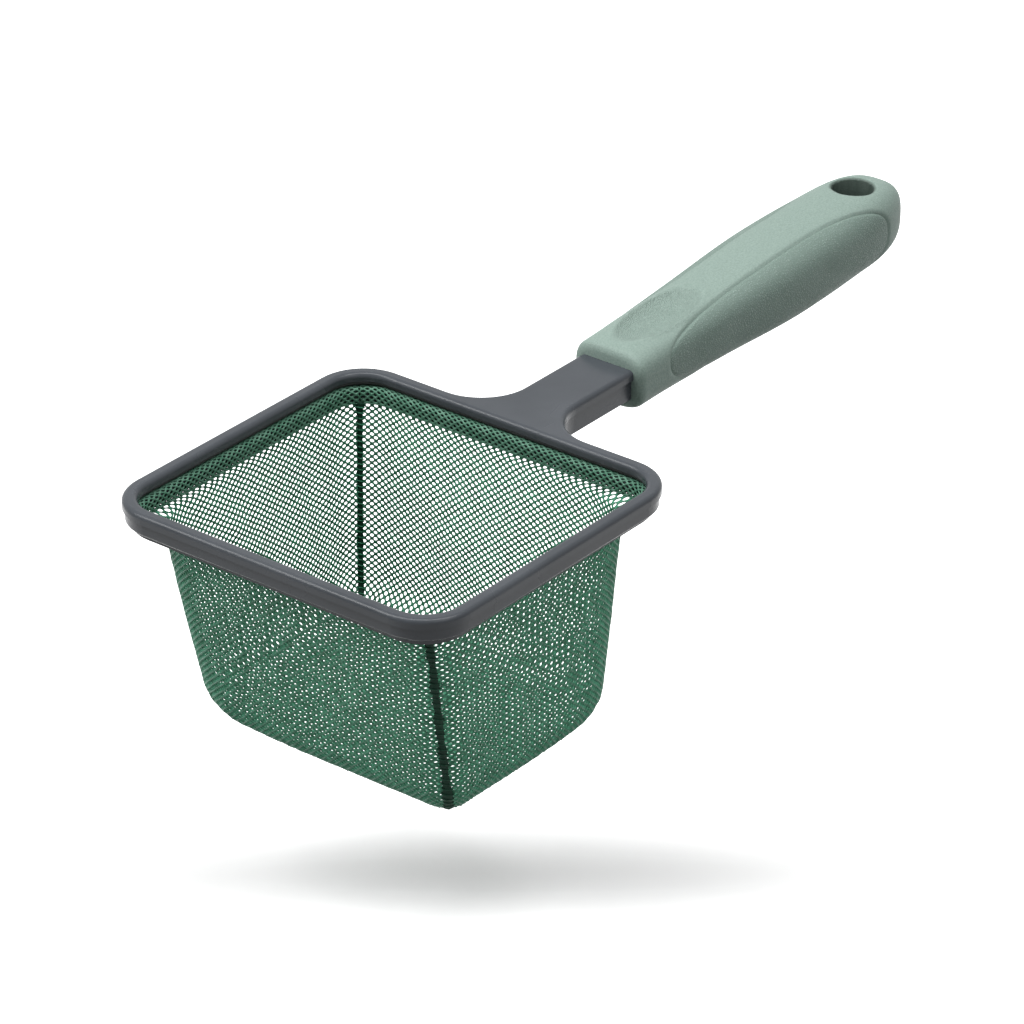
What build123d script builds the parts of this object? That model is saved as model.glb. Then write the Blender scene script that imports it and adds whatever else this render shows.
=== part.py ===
"""Aquarium fish net: a moulded hoop with its neck and tang, a sewn mesh bag and a soft grip.

Millimetres, +Z up. The mesh bag hangs below the level hoop and the handle runs along +X.
The origin is under the middle of the whole net, on the plane of the bag's floor.
"""

import os
from math import cos, pi, sin

from build123d import *

# Hoop, seen from above: length along the handle, width across it
HOOP_LENGTH = 93.0
HOOP_WIDTH = 100.0
HOOP_CORNER = 13.0
HOOP_WALL = 3.8
HOOP_HEIGHT = 5.8
HOOP_TOP = 60.0  # height of the hoop's top face above the bag's floor
EDGE_ROUND = 1.25  # rounding of the hoop's and the neck's top edges
FOOT_ROUND = 0.6  # rounding of the hoop's outer foot
BEAD_HEIGHT = 2.5  # the rounded upper band of the outer wall
BEAD_STEP = 0.6  # how far that band stands out over the wall below it
SKIRT_WALL = 1.5  # thin inner lip that carries the hem
SKIRT_DROP = 1.6  # how far that lip reaches below the hoop's underside

# Cord that locks the hem in a groove in the hoop's inner wall
CORD_DIAMETER = 1.2
CORD_SEAT = 0.05  # clearance between the cord and what it presses on
CORD_COVER = 0.45  # how far the cord lies behind the hoop's inner wall
HEM_TUCK = 0.7  # thickness of the hem's folded edge below the cord
GROOVE_RISE = 1.5  # from the hoop's underside to the groove's lower side

# Neck between the hoop and the grip, and the tang inside the grip
NECK_LENGTH = 35.7
NECK_WIDTH = 16.0
NECK_DROP = 2.0  # how far the neck's underside lies below the hoop's
NECK_FLARE = 13.0  # radius where the neck runs out into the hoop
NECK_SLOPE = 16.0  # length over which the neck's underside drops
NECK_INSERT = 2.5  # how far the full neck goes into the grip
TANG_TO_HOLE = 40.0  # from the tang's end to the hang hole's middle
TANG_WIDTH = 11.0
TANG_THICKNESS = 4.6
TANG_CORNER = 2.2
WINDOW_PITCH = 20.0  # slots in the tang that the grip is moulded through
WINDOW_LENGTH = 10.0
WINDOW_WIDTH = 5.0

# Mesh bag
NET_THICKNESS = 0.8
HEM_THICKNESS = 1.0
HEM_GAP = 0.1  # between the hem and the hoop's inner wall
BAG_TAPER = 5.0  # how far each wall leans in from the hem to the floor
BAG_CORNER = 10.5  # radius of the two seamed corners at the floor
BAG_SOFT_CORNER = 22.0  # radius of the two corners that are only folded
BAG_SHOULDER = 4.0  # height below the hem over which those corners draw in
BAG_ROUND = 5.0  # rounding between the walls and the floor
MESH_COLUMNS = 12  # openings across each side and the floor, a plain grid in place of the fine mesh
MESH_ROWS = 8  # openings from the floor seam up to the hem
MESH_RIB = 1.8  # width of what is left between two openings
MESH_MARGIN = 1.6  # from the edge of a side to its grid
SEAM_WIDTH = 2.2
SEAM_THICKNESS = 1.7
FLOOR_SEAM_BASE = 1.0  # height of the floor seam's lower edge
FLOOR_SEAM_HEIGHT = 1.5
FLOOR_SEAM_LAP = 1.3  # how far the floor seam lies over the floor's turned-up rim

# Grip: at shares of its length, half width, top above and bottom below the hoop's top face
GRIP_LENGTH = 118.6
GRIP_STATIONS = (
    (0.0, 10.6, 3.8, 11.6),
    (0.1, 10.7, 4.6, 11.4),
    (0.31, 11.6, 6.5, 11.5),
    (0.53, 12.9, 8.6, 12.1),
    (0.67, 12.9, 9.2, 11.6),
    (0.79, 12.2, 9.5, 11.1),
)
GRIP_SQUARENESS = (3.3, 2.95)  # exponent of the section at the lip and from the belly on
GRIP_SECTION_POINTS = 20
GRIP_SECTION_START = 4  # points from a section's side down to its first point, which lies below the pads
GRIP_PITCH = 7.0  # distance between sections
END_STEPS = (0.2, 0.38, 0.54, 0.68, 0.8, 0.89, 0.955)  # shares of the end's length with a section
END_PLAN_POWER = 2.8  # roundness of the end seen from above
END_SIDE_POWER = 3.4  # roundness of the end seen from the side
LIP_ROUND = 2.0
LIP_STEPS = 3  # sections in the lip's rounding
HOLE_RADIUS = 5.4
HOLE_FROM_END = 14.8
HOLE_RIM_ROUND = 0.5

# Thumb rest: a shallow oval scoop on top of the grip
THUMB_FROM_LIP = 19.0
THUMB_LENGTH = 32.0
THUMB_WIDTH = 13.0
THUMB_DEPTH = 0.9
THUMB_BALL_HEIGHT = 10.0  # half height of the rounded body that leaves the scoop

# Side pads, let into the grip's sides, with a smooth outline that grows towards the end
PAD_FROM_LIP = 12.8
PAD_FROM_END = 15.4
PAD_AXIS_DROP = 1.5  # the outline's axis below the hoop's top face
PAD_RISE = (7.5, 13.2)  # reach of the outline above its axis, near the lip and near the end
PAD_FALL = (9.4, 10.0)  # reach of the outline below its axis, near the lip and near the end
PAD_SQUARENESS = 2.6
PAD_POINTS = 24
PAD_DEPTH = 1.3
PAD_SINK = 0.15  # the pads lie this much below the grip's surface
PAD_GROOVE = 0.45  # open groove round each pad
PAD_LEAN = 0.6  # how far the pocket's walls lean in for each millimetre of depth
PAD_OUTLINE_OUT = 9.0  # distance from the middle plane at which the outline has its size
PAD_ROOT = 3.6  # distance of the pocket body's inner end from the middle plane
PAD_REACH = 18.0  # distance of its outer end, clear of the grip

# Places along the net
OVERALL_LENGTH = HOOP_LENGTH + NECK_LENGTH + GRIP_LENGTH
HOOP_X = (HOOP_LENGTH - OVERALL_LENGTH) / 2
HOOP_BACK_X = HOOP_X + HOOP_LENGTH / 2
LIP_X = HOOP_BACK_X + NECK_LENGTH
END_X = OVERALL_LENGTH / 2
HOLE_X = END_X - HOLE_FROM_END
PAD_LENGTH = GRIP_LENGTH - PAD_FROM_LIP - PAD_FROM_END
PAD_X = LIP_X + PAD_FROM_LIP + PAD_LENGTH / 2
TANG_LENGTH = HOLE_X - TANG_TO_HOLE - LIP_X - NECK_INSERT
UNDER_HOOP = HOOP_TOP - HOOP_HEIGHT
UNDER_NECK = UNDER_HOOP - NECK_DROP
HEM_BASE = UNDER_HOOP - SKIRT_DROP
HEM_INSET = HOOP_WALL + HEM_GAP
GROOVE_DEPTH = CORD_DIAMETER + CORD_SEAT + CORD_COVER
GROOVE_INSET = HOOP_WALL - GROOVE_DEPTH
GROOVE_BASE = UNDER_HOOP + GROOVE_RISE
TUCK_TOP = GROOVE_BASE + HEM_GAP + HEM_TUCK
GROOVE_TOP = TUCK_TOP + CORD_DIAMETER + 2 * CORD_SEAT
FLOOR_SEAM_TOP = FLOOR_SEAM_BASE + FLOOR_SEAM_HEIGHT
REACH = 2 * OVERALL_LENGTH  # longer than anything here, for cutting bodies


def hoop_face(inset):
    """The hoop's outline, moved in by an inset."""
    face = RectangleRounded(HOOP_LENGTH - 2 * inset, HOOP_WIDTH - 2 * inset, HOOP_CORNER - inset)
    return Pos(HOOP_X, 0) * face


def slab(face, low, high):
    """A face pulled up between two heights."""
    return extrude(Pos(0, 0, low) * face, amount=high - low)


def band(outer_inset, inner_inset, low, high):
    """A rectangular loop that follows the hoop."""
    return slab(hoop_face(outer_inset) - hoop_face(inner_inset), low, high)


def frame_plan(inset):
    """Hoop and neck seen from above, with the flares between them."""
    neck_end = LIP_X + NECK_INSERT
    neck = Rectangle(neck_end - HOOP_X, NECK_WIDTH - 2 * inset, align=(Align.MIN, Align.CENTER))
    plan = hoop_face(inset) + Pos(HOOP_X, 0) * neck
    root_x = HOOP_BACK_X - inset
    roots = [v for v in plan.vertices() if abs(v.X - root_x) < 1e-3 and abs(v.Y) < NECK_WIDTH / 2 + 1e-3]
    return fillet(roots, radius=NECK_FLARE + inset)


def tang():
    """Flat bar that carries the grip, with slots that the grip's material fills."""
    base = (HOOP_TOP + UNDER_NECK - TANG_THICKNESS) / 2
    start = LIP_X + NECK_INSERT
    bar = Rectangle(TANG_LENGTH, TANG_WIDTH, align=(Align.MIN, Align.CENTER))
    bar = fillet(bar.vertices(), radius=TANG_CORNER)
    face = Pos(start, 0) * bar
    windows = int(TANG_LENGTH / WINDOW_PITCH)
    first = start + (TANG_LENGTH - WINDOW_PITCH * (windows - 1)) / 2
    for index in range(windows):
        face -= Pos(first + WINDOW_PITCH * index, 0) * SlotOverall(WINDOW_LENGTH, WINDOW_WIDTH)
    root = Rectangle(2 * NECK_INSERT, TANG_WIDTH)
    return slab(face + Pos(start, 0) * root, base, base + TANG_THICKNESS)


def frame():
    """Hoop, neck and tang in one moulding."""
    bead = slab(frame_plan(0), HOOP_TOP - BEAD_HEIGHT, HOOP_TOP)
    wall = slab(frame_plan(BEAD_STEP), UNDER_NECK, HOOP_TOP - BEAD_HEIGHT)
    slope_start = HOOP_BACK_X - HOOP_WALL
    side = Polyline(
        (HOOP_X - HOOP_LENGTH, UNDER_HOOP),
        (slope_start, UNDER_HOOP),
        (slope_start + NECK_SLOPE, UNDER_NECK),
        (END_X, UNDER_NECK),
        (END_X, HOOP_TOP),
        (HOOP_X - HOOP_LENGTH, HOOP_TOP),
        close=True,
    )
    side_view = extrude(Plane.XZ * make_face(side), amount=HOOP_WIDTH, both=True)
    wall = wall & side_view
    wall = fillet(outer_foot_edges(wall), radius=FOOT_ROUND)
    body = bead + wall - slab(hoop_face(HOOP_WALL), 0, REACH)
    body = fillet(body.faces().sort_by(Axis.Z)[-1].edges(), radius=EDGE_ROUND)
    body += band(HOOP_WALL - SKIRT_WALL, HOOP_WALL, HEM_BASE, UNDER_HOOP)
    body -= band(GROOVE_INSET, HOOP_WALL, GROOVE_BASE, GROOVE_TOP)
    return body + tang()


def outer_foot_edges(wall):
    """The lower edges of the hoop's outer wall, clear of the neck's sloping underside."""
    limit = HOOP_BACK_X - HOOP_WALL
    flat = [e for e in wall.edges() if abs(e.center().Z - UNDER_HOOP) < 1e-3]
    return [e for e in flat if e.center().X < limit - 1e-3 and e.vertices().sort_by(Axis.X)[-1].X < limit]


def hem_cord():
    """Round cord that locks the hem into the hoop's groove."""
    radius = CORD_DIAMETER / 2
    inset = GROOVE_INSET + CORD_SEAT + radius
    path = (Pos(0, 0, TUCK_TOP + CORD_SEAT + radius) * hoop_face(inset)).face().outer_wire()
    return sweep(Plane(path @ 0, z_dir=path % 0) * Circle(radius), path=path)


def net_hem():
    """Doubled mesh band on the hoop's inner lip, with its upper edge tucked into the groove."""
    flat = band(HEM_INSET, HEM_INSET + HEM_THICKNESS, HEM_BASE, TUCK_TOP)
    tuck = band(GROOVE_INSET + HEM_GAP, HEM_INSET, GROOVE_BASE + HEM_GAP, TUCK_TOP)
    return flat + tuck


def bag_face(inset, height, seamed, soft):
    """The bag's outline at a height, moved in by a wall, with a radius for each pair of corners."""
    lean = BAG_TAPER * (HEM_BASE - height) / HEM_BASE
    length = HOOP_LENGTH - 2 * (HEM_INSET + lean + inset)
    width = HOOP_WIDTH - 2 * (HEM_INSET + lean + inset)
    face = Rectangle(length, width)
    face = fillet([v for v in face.vertices() if v.X * v.Y > 0], radius=seamed - inset)
    face = fillet([v for v in face.vertices() if v.X * v.Y < 0], radius=soft - inset)
    return Pos(HOOP_X, 0, height) * face


def bag_body(inset):
    """The bag as a filled body, with every face moved in by an inset."""
    hem_corner = HOOP_CORNER - HEM_INSET
    shoulder = HEM_BASE - BAG_SHOULDER
    drawn = hem_corner + (BAG_CORNER - hem_corner) * BAG_SHOULDER / HEM_BASE
    mouth = bag_face(inset, HEM_BASE, hem_corner, hem_corner)
    gathered = bag_face(inset, shoulder, drawn, BAG_SOFT_CORNER)
    floor = bag_face(inset, inset, BAG_CORNER, BAG_SOFT_CORNER)
    body = loft([floor, gathered, mouth], ruled=True)
    return fillet(body.edges().group_by(Axis.Z)[0], radius=BAG_ROUND - inset)


def bag_corner(sign_x, sign_y):
    """The square corner of the bag's mouth, seen from above."""
    x = HOOP_X + sign_x * (HOOP_LENGTH / 2 - HEM_INSET)
    y = sign_y * (HOOP_WIDTH / 2 - HEM_INSET)
    return x, y


def seam_slab(sign_x, sign_y):
    """Upright slab on the diagonal through one corner of the bag."""
    x, y = bag_corner(sign_x, sign_y)
    turn = 45 * sign_x * sign_y
    return Pos(x, y, FLOOR_SEAM_TOP) * Rot(0, 0, turn) * Box(
        HOOP_WIDTH / 2,
        SEAM_WIDTH,
        HEM_BASE - FLOOR_SEAM_TOP,
        align=(Align.CENTER, Align.CENTER, Align.MIN),
    )


def wall_region(sign_x, sign_y):
    """The part of the bag that belongs to one side, seen from above, between two corner diagonals."""
    half_length = HOOP_LENGTH / 2 - HEM_INSET
    half_width = HOOP_WIDTH / 2 - HEM_INSET
    depth = min(half_length, half_width) - HOOP_CORNER
    half, away = (half_length, half_width) if sign_x == 0 else (half_width, half_length)
    near, far = half - depth, half + HOOP_WALL
    points = ((away - depth, -near), (away + HOOP_WALL, -far), (away + HOOP_WALL, far), (away - depth, near))
    if sign_x == 0:
        points = [(across, sign_y * out) for out, across in points]
    else:
        points = [(sign_x * out, across) for out, across in points]
    return Pos(HOOP_X, 0) * make_face(Polyline(*points, close=True))


def net_wall(shell, signs):
    """One side of the bag, from the floor seam up to the hem."""
    wall = shell & slab(wall_region(*signs), FLOOR_SEAM_TOP, HEM_BASE)
    wall -= [seam_slab(*corner) for corner in SEAMED_CORNERS.values()]
    return wall - wall_openings(*signs)


def across_side(half_mouth, height, share):
    """Place on a side of the bag at a share of its grid, from the soft corner to the seamed one."""
    half = half_mouth - BAG_TAPER * (HEM_BASE - height) / HEM_BASE - MESH_MARGIN
    cut_off = 1 - cos(pi / 4)
    soft = half - BAG_SOFT_CORNER * cut_off
    seamed = half - BAG_CORNER * cut_off - SEAM_WIDTH
    return share * (soft + seamed) - soft


def wall_openings(sign_x, sign_y):
    """Cutting bodies for the grid in one side of the bag, in columns that lean with its edges."""
    half_mouth = (HOOP_WIDTH if sign_x else HOOP_LENGTH) / 2 - HEM_INSET
    grid_base = FLOOR_SEAM_TOP + MESH_MARGIN
    pitch = (HEM_BASE - MESH_MARGIN - grid_base) / MESH_ROWS
    cuts = []
    for row in range(MESH_ROWS):
        low = grid_base + pitch * row + MESH_RIB / 2
        high = grid_base + pitch * (row + 1) - MESH_RIB / 2
        for column in range(MESH_COLUMNS):
            points = []
            for height, edges in ((low, (0, 1)), (high, (1, 0))):
                for edge in edges:
                    place = across_side(half_mouth, height, (column + edge) / MESH_COLUMNS)
                    place = (sign_x + sign_y) * (place + MESH_RIB * (0.5 - edge))
                    points.append((HOOP_X, place, height) if sign_x else (HOOP_X + place, 0, height))
            face = make_face(Polyline(*points, close=True))
            cuts.append(extrude(face, amount=HOOP_WIDTH, dir=(sign_x, sign_y, 0)))
    return cuts


def net_floor(shell):
    """The bag's floor, turned up a little at its rim, with a grid of openings."""
    rim = HEM_INSET + BAG_TAPER + BAG_SOFT_CORNER * (1 - cos(pi / 4)) + 2 * MESH_MARGIN
    pitches = [(size - 2 * rim) / MESH_COLUMNS for size in (HOOP_LENGTH, HOOP_WIDTH)]
    cell = Rectangle(*[pitch - MESH_RIB for pitch in pitches])
    grid = Pos(HOOP_X, 0) * GridLocations(*pitches, MESH_COLUMNS, MESH_COLUMNS)
    floor = shell & slab(hoop_face(0), 0, FLOOR_SEAM_BASE)
    return floor - [slab(place * cell, 0, FLOOR_SEAM_BASE) for place in grid]


def floor_seam(body):
    """Sewn seam round the floor, on the floor's rim."""
    ring = body & slab(hoop_face(0), FLOOR_SEAM_BASE, FLOOR_SEAM_TOP)
    rise = BAG_ROUND - FLOOR_SEAM_BASE
    rim_inset = BAG_ROUND - (BAG_ROUND**2 - rise**2) ** 0.5
    inner = bag_face(rim_inset + FLOOR_SEAM_LAP, 0, BAG_CORNER, BAG_SOFT_CORNER)
    return ring - slab(inner, 0, HOOP_TOP)


def grip_section(x, half_width, top, bottom, power):
    """Rounded section of the grip, between a circle and a square, at one place along it."""
    middle = HOOP_TOP + (top - bottom) / 2
    half_height = (top + bottom) / 2
    points = []
    for index in range(GRIP_SECTION_POINTS):
        angle = 2 * pi * (index + 0.5 - GRIP_SECTION_START) / GRIP_SECTION_POINTS
        across = rounded(cos(angle), power) * half_width
        up = rounded(sin(angle), power) * half_height
        points.append((x, across, middle + up))
    return make_face(Spline(*points, periodic=True))


def rounded(value, power):
    """A sine or cosine drawn out towards a square."""
    return abs(value) ** (2 / power) * (1 if value > 0 else -1)


def eased(place, column):
    """A grip dimension at a distance from the lip, on a smooth curve through the stations."""
    places = [row[0] * GRIP_LENGTH for row in GRIP_STATIONS]
    values = [row[column] for row in GRIP_STATIONS]
    last = len(places) - 1
    start = max(i for i in range(last) if i == 0 or places[i] <= place)
    slopes = []
    for index in (start, start + 1):
        before, after = max(index - 1, 0), min(index + 1, last)
        slopes.append((values[after] - values[before]) / (places[after] - places[before]))
    span = places[start + 1] - places[start]
    share = (place - places[start]) / span
    rise = share**2 * (3 - 2 * share)
    level = values[start] + rise * (values[start + 1] - values[start])
    lead = share * (1 - share) ** 2 * slopes[0]
    trail = share**2 * (1 - share) * slopes[1]
    return level + span * (lead - trail)


def grip_station(place, inset):
    """Section of the grip's straight part at a distance from the lip."""
    belly = GRIP_STATIONS[3][0] * GRIP_LENGTH
    front, rear = GRIP_SQUARENESS
    power = front + (rear - front) * min(place / belly, 1)
    width, top, bottom = (eased(place, column) - inset for column in (1, 2, 3))
    return grip_section(LIP_X + place, width, top, bottom, power)


def trend(share, column):
    """A grip dimension past the last station, on the straight line that the last two stations give."""
    (before, *old), (last, *new) = GRIP_STATIONS[-2:]
    slope = (new[column - 1] - old[column - 1]) / (last - before)
    return new[column - 1] + slope * share * (1 - last)


def grip_end(share, inset):
    """Section of the grip's rounded end, at a share of its length."""
    plan = (1 - share**END_PLAN_POWER) ** (1 / END_PLAN_POWER)
    side = (1 - share**END_SIDE_POWER) ** (1 / END_SIDE_POWER)
    start = LIP_X + GRIP_STATIONS[-1][0] * GRIP_LENGTH
    x = start + share * (END_X - inset - start)
    half_width, top, bottom = (trend(share, column) - inset for column in (1, 2, 3))
    rise = (top + bottom) / 2 * side
    lift = (top - bottom) / 2
    return grip_section(x, half_width * plan, lift + rise, rise - lift, GRIP_SQUARENESS[1])


def grip_body(inset):
    """The grip's outer form, with every section moved in by an inset."""
    straight = GRIP_STATIONS[-1][0] * GRIP_LENGTH
    steps = round(straight / GRIP_PITCH)
    sections = []
    for index in range(LIP_STEPS):
        angle = pi / 2 * index / LIP_STEPS
        place = LIP_ROUND * (1 - cos(angle))
        sections.append(grip_station(place, inset + LIP_ROUND * (1 - sin(angle))))
    sections.append(grip_station(LIP_ROUND, inset))
    sections += [grip_station(straight * index / steps, inset) for index in range(1, steps + 1)]
    sections += [grip_end(share, inset) for share in END_STEPS]
    tip = Vertex(END_X - inset, 0, HOOP_TOP + (trend(1, 2) - trend(1, 3)) / 2)
    return loft(sections + [tip])


def thumb_scoop():
    """Rounded body whose lower cap leaves the thumb rest."""
    place, top = THUMB_FROM_LIP, eased(THUMB_FROM_LIP, 2)
    reach = (1 - (1 - THUMB_DEPTH / THUMB_BALL_HEIGHT) ** 2) ** 0.5
    size = (THUMB_LENGTH / 2 / reach, THUMB_WIDTH / 2 / reach, THUMB_BALL_HEIGHT)
    ball = scale(Sphere(1), by=size)
    lift = THUMB_BALL_HEIGHT - THUMB_DEPTH
    return Pos(LIP_X + place, 0, HOOP_TOP + top + lift) * Rot(0, grip_slope(place), 0) * ball


def grip_slope(place):
    """Turn about Y that follows the grip's top at a distance from the lip."""
    half = THUMB_LENGTH / 2
    rise = eased(place + half, 2) - eased(place - half, 2)
    return -Vector(1, 0, 0).get_angle(Vector(THUMB_LENGTH, 0, rise))


def pad_outline(grow):
    """A pad seen from its side, moved out all round."""
    points = []
    for index in range(PAD_POINTS):
        angle = 2 * pi * (index + 0.5) / PAD_POINTS
        along = rounded(cos(angle), PAD_SQUARENESS)
        up = rounded(sin(angle), PAD_SQUARENESS)
        front, rear = PAD_RISE if up > 0 else PAD_FALL
        reach = front + (rear - front) * (along + 1) / 2
        x = PAD_X + along * (PAD_LENGTH / 2 + grow)
        points.append((x, HOOP_TOP - PAD_AXIS_DROP + up * (reach + grow)))
    return make_face(Spline(*points, periodic=True))


def pad_prism(margin):
    """Pocket body for the left side pad. Its walls lean in towards the grip's middle plane."""
    faces = []
    for out in (PAD_REACH, PAD_ROOT):
        grow = (out - PAD_OUTLINE_OUT) * PAD_LEAN - margin
        faces.append(Plane.XZ.offset(-out) * pad_outline(grow))
    return loft(faces, ruled=True)


def left_pad(core):
    """Soft textured pad in the left side of the grip."""
    return (pad_prism(PAD_GROOVE) & grip_body(PAD_SINK)) - core


def holed_body():
    """The grip's outer form with its hang hole."""
    body = grip_body(0) - slab(Pos(HOLE_X, 0) * Circle(HOLE_RADIUS), 0, REACH)
    wall = body.faces().filter_by(GeomType.CYLINDER)[0]
    rims = [edge for edge in wall.edges() if edge.geom_type != GeomType.LINE]
    return fillet(rims, radius=HOLE_RIM_ROUND)


def grip(frame_body, core):
    """Soft grip moulded round the neck's end and the tang, with pockets for its pads."""
    pocket = pad_prism(0) - core
    cuts = [thumb_scoop(), pocket, mirror(pocket, about=Plane.XZ), frame_body]
    return holed_body() - cuts


SEAMED_CORNERS = {"front_right": (-1, -1), "back_left": (1, 1)}
WALLS = {"front": (-1, 0), "back": (1, 0), "left": (0, 1), "right": (0, -1)}


def all_parts():
    """Every piece of the net by its name."""
    frame_body = frame()
    bag = bag_body(0)
    mesh = bag - bag_body(NET_THICKNESS)
    seam = bag - bag_body(SEAM_THICKNESS)
    grip_core = grip_body(PAD_DEPTH)
    parts = {"frame": frame_body, "hem_cord": hem_cord(), "net_hem": net_hem()}
    for name, signs in WALLS.items():
        parts[f"net_{name}_wall"] = net_wall(mesh, signs)
    parts["net_floor"] = net_floor(mesh)
    for name, signs in SEAMED_CORNERS.items():
        parts[f"{name}_seam"] = seam & seam_slab(*signs)
    parts["floor_seam"] = floor_seam(bag)
    parts["grip"] = grip(frame_body, grip_core)
    parts["left_grip_pad"] = left_pad(grip_core)
    parts["right_grip_pad"] = mirror(parts["left_grip_pad"], about=Plane.XZ)
    return parts


os.makedirs("parts", exist_ok=True)
for name, piece in all_parts().items():
    export_step(piece, f"parts/{name}.step")
    box = piece.bounding_box()
    print(f"{name}: {piece.volume:.1f} mm3, {box.size.X:.2f} x {box.size.Y:.2f} x {box.size.Z:.2f} mm")
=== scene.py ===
# %% [markdown]
# Dressing an aquarium fish net
#
# The net is a dark moulded hoop with a flared neck, a soft sage grip and a bag of knitted green mesh. All
# of it already exists as exact solids, in metres, with the handle along +X and +Z up. The solids of the
# hoop and of its hidden cord only get their finish here. The grip and its pads are modelled anew, with
# their soft details, and the bag is knitted strand by strand.

# %% Load the frame
import bpy
from bisect import bisect_right
from math import asin, cos, exp, hypot, pi, radians, sin
from mathutils import Matrix, Vector, noise


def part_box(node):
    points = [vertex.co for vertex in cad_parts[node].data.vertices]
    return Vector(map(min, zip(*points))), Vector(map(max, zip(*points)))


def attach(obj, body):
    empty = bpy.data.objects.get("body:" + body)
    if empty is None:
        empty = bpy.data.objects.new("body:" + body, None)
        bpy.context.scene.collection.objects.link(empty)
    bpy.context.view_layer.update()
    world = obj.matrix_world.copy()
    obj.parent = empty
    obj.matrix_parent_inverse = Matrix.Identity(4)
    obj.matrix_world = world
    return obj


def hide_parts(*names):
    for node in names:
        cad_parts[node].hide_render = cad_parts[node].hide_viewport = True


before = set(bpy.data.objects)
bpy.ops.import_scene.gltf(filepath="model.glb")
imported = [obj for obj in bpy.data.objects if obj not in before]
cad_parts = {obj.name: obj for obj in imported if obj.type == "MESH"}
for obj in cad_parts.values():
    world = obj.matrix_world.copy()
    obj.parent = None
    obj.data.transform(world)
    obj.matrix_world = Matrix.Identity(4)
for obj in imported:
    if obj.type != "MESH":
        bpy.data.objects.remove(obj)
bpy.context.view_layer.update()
MM = 0.001

# %% [markdown]
# The camera
#
# A long lens from well away keeps the hoop's sides almost parallel, as they are in the photograph. The view
# is set by a direction, a distance and the point that lies in the middle of the image.

# %% Camera
VIEW_AZIMUTH = radians(-51.713)
VIEW_ELEVATION = radians(28.567)
VIEW_DISTANCE = 1165.94 * MM
LENS = 176.49
HEM_LOW, HEM_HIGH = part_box("net_hem")
HOOP_TOP = 60 * MM
HOOP_X = (HEM_LOW.x + HEM_HIGH.x) / 2
AIM_RIGHT = 27.74 * MM
AIM_UP = -5.651 * MM


def place_camera():
    """The scene's camera, looking at a point beside the hoop's middle."""
    flat = cos(VIEW_ELEVATION)
    back = Vector((sin(VIEW_AZIMUTH) * flat, -cos(VIEW_AZIMUTH) * flat, sin(VIEW_ELEVATION)))
    right = Vector((cos(VIEW_AZIMUTH), sin(VIEW_AZIMUTH), 0))
    up = back.cross(right)
    spot = Vector((HOOP_X, 0, HOOP_TOP)) + right * AIM_RIGHT + up * AIM_UP
    turn = Matrix((right, up, back)).transposed().to_4x4()
    bpy.ops.object.camera_add()
    camera = bpy.context.object
    camera.name = "camera"
    camera.matrix_world = Matrix.Translation(spot + back * VIEW_DISTANCE) @ turn
    camera.data.sensor_width = 36
    camera.data.lens = LENS
    camera.data.clip_start = 0.05
    bpy.context.scene.camera = camera
    return camera


camera = place_camera()
print("camera at", tuple(round(v, 3) for v in camera.location))

# %% [markdown]
# The studio
#
# The floor is white and lies below the bag, as the net floats over its shadow in the photograph. One long
# lamp overhead gives most of the light. It lies across the view, so that the shadow is drawn out sideways.
# A weaker one lights the near sides. The white background is seen by the camera and by reflections only.
# For them the floor also glows up to white, except in a long oval under the net, where its shadow is
# deepest. To all other rays the background is a weak even light and the floor is grey, so that little light
# comes back up.

# %% Floor, background and lamps
FLOOR_Z = -46 * MM
FLOOR_SIZE = 6.0
SHADOW_SPOT = (HOOP_X + 16.5 * MM, -21.7 * MM)
SHADOW_HALF = (330 * MM, 42 * MM)
GLOW_IN_SHADOW = 0.1


def light_path_mix(nodes, links):
    """1 for rays from the camera, from a gloss or through glass, and 0 for all others."""
    path = nodes.new("ShaderNodeLightPath")
    seen = path.outputs["Is Camera Ray"]
    for other in ("Is Glossy Ray", "Is Transmission Ray"):
        both = nodes.new("ShaderNodeMath")
        both.operation = "MAXIMUM"
        links.new(seen, both.inputs[0])
        links.new(path.outputs[other], both.inputs[1])
        seen = both.outputs[0]
    return seen


def by_ray(nodes, links, unseen, seen):
    """One value for rays that see the background, and another for the rays that carry light."""
    choice = nodes.new("ShaderNodeMapRange")
    links.new(light_path_mix(nodes, links), choice.inputs["Value"])
    choice.inputs["To Min"].default_value = unseen
    choice.inputs["To Max"].default_value = seen
    return choice.outputs["Result"]


def make_world(ambient):
    """White to the camera, and an even grey light to everything else."""
    world = bpy.data.worlds.new("studio")
    bpy.context.scene.world = world
    world.use_nodes = True
    nodes, links = world.node_tree.nodes, world.node_tree.links
    background = nodes["Background"]
    background.inputs["Color"].default_value = (1, 1, 1, 1)
    links.new(by_ray(nodes, links, ambient, 1.0), background.inputs["Strength"])


def oval_reach(nodes, links, spot, turn, half):
    """Distance from the middle of an oval that is seen from above, 1 on the oval itself."""
    place = nodes.new("ShaderNodeTexCoord")
    oval = nodes.new("ShaderNodeMapping")
    oval.vector_type = "TEXTURE"
    oval.inputs["Location"].default_value = (*spot, 0)
    oval.inputs["Rotation"].default_value = (0, 0, turn)
    oval.inputs["Scale"].default_value = (*half, 1)
    links.new(place.outputs["Object"], oval.inputs["Vector"])
    flat = nodes.new("ShaderNodeVectorMath")
    flat.operation = "MULTIPLY"
    flat.inputs[1].default_value = (1, 1, 0)
    links.new(oval.outputs[0], flat.inputs[0])
    reach = nodes.new("ShaderNodeVectorMath")
    reach.operation = "LENGTH"
    links.new(flat.outputs[0], reach.inputs[0])
    return reach.outputs["Value"]


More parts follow.
